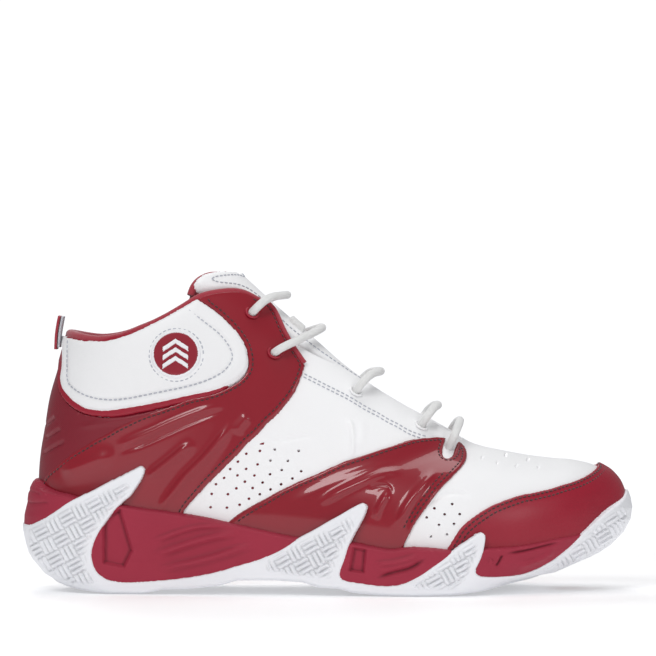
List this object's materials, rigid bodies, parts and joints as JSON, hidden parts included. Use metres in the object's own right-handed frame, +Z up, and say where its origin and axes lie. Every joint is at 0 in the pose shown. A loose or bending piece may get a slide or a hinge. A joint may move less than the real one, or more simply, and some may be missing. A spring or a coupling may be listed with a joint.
{
  "type": "basketball shoe",
  "caption": "Mid-top lace-up sports shoe for the right foot, with patent overlays, a padded collar and a wrapped rubber sole.",
  "frame": {"origin": "on the ground, under the middle of the shoe's bounding box", "axes": "+X towards the toe, +Z up, lateral (outer) side towards -Y"},
  "size_m": [0.3054, 0.1103, 0.1609],
  "materials": {
    "outsole_rubber": "matt white rubber with woven relief",
    "midsole_foam": "satin red moulded foam",
    "shank_plastic": "matt black nylon",
    "board_fibre": "stitched fibre board",
    "sockliner_foam": "brushed cloth over foam",
    "white_leather": "smooth white leather",
    "red_leather": "smooth red leather",
    "patent_leather": "high-gloss red patent leather",
    "heel_moulded": "moulded red counter cover",
    "collar_leather": "soft padded white leather",
    "binding_red": "woven red binding",
    "lining_mesh": "knitted red lining",
    "vamp_lining_cloth": "white textile lining",
    "padding_foam": "open-cell foam",
    "stiffener_board": "heat-set fibre",
    "lace_cotton": "round white woven lace",
    "aglet_plastic": "clear plastic tip",
    "badge_rubber": "moulded patch",
    "pull_tab_web": "woven tape"
  },
  "bodies": {
    "shoe": {"outsole": "outsole_rubber", "midsole": "midsole_foam", "shank": "shank_plastic", "strobel_board": "board_fibre", "sockliner": "sockliner_foam", "vamp": "white_leather", "quarter_lateral": "white_leather", "quarter_medial": "white_leather", "toe_cap": "red_leather", "front_overlay_lateral": "patent_leather", "front_overlay_medial": "patent_leather", "rear_overlay_lateral": "patent_leather", "rear_overlay_medial": "patent_leather", "heel_panel": "heel_moulded", "collar_panel_lateral": "collar_leather", "collar_panel_medial": "collar_leather", "collar_piping": "binding_red", "collar_foam": "padding_foam", "collar_lining": "lining_mesh", "vamp_lining": "vamp_lining_cloth", "heel_counter": "stiffener_board", "toe_puff": "stiffener_board", "ankle_badge_lateral": "badge_rubber", "ankle_badge_medial": "badge_rubber", "shoe_lace": "lace_cotton", "lace_aglet": "aglet_plastic", "lace_knot": "lace_cotton"},
    "tongue": {"tongue": "white_leather", "tongue_cover": "white_leather", "tongue_binding": "binding_red", "tongue_lace_loop": "pull_tab_web"},
    "pull_tab": {"pull_tab": "pull_tab_web"}
  },
  "joints": [
    {"name": "tongue_fold", "type": "hinge", "parent": "shoe", "child": "tongue", "pos_m": [0.0715, 0, 0.064], "axis": [0, 1, 0], "range_deg": [-6, 0], "stiffness_Nm_per_rad": 1},
    {"name": "pull_tab_flex", "type": "hinge", "parent": "shoe", "child": "pull_tab", "pos_m": [-0.1348, 0, 0.121], "axis": [0, 1, 0], "range_deg": [-50, 0], "stiffness_Nm_per_rad": 0.05}
  ]
}
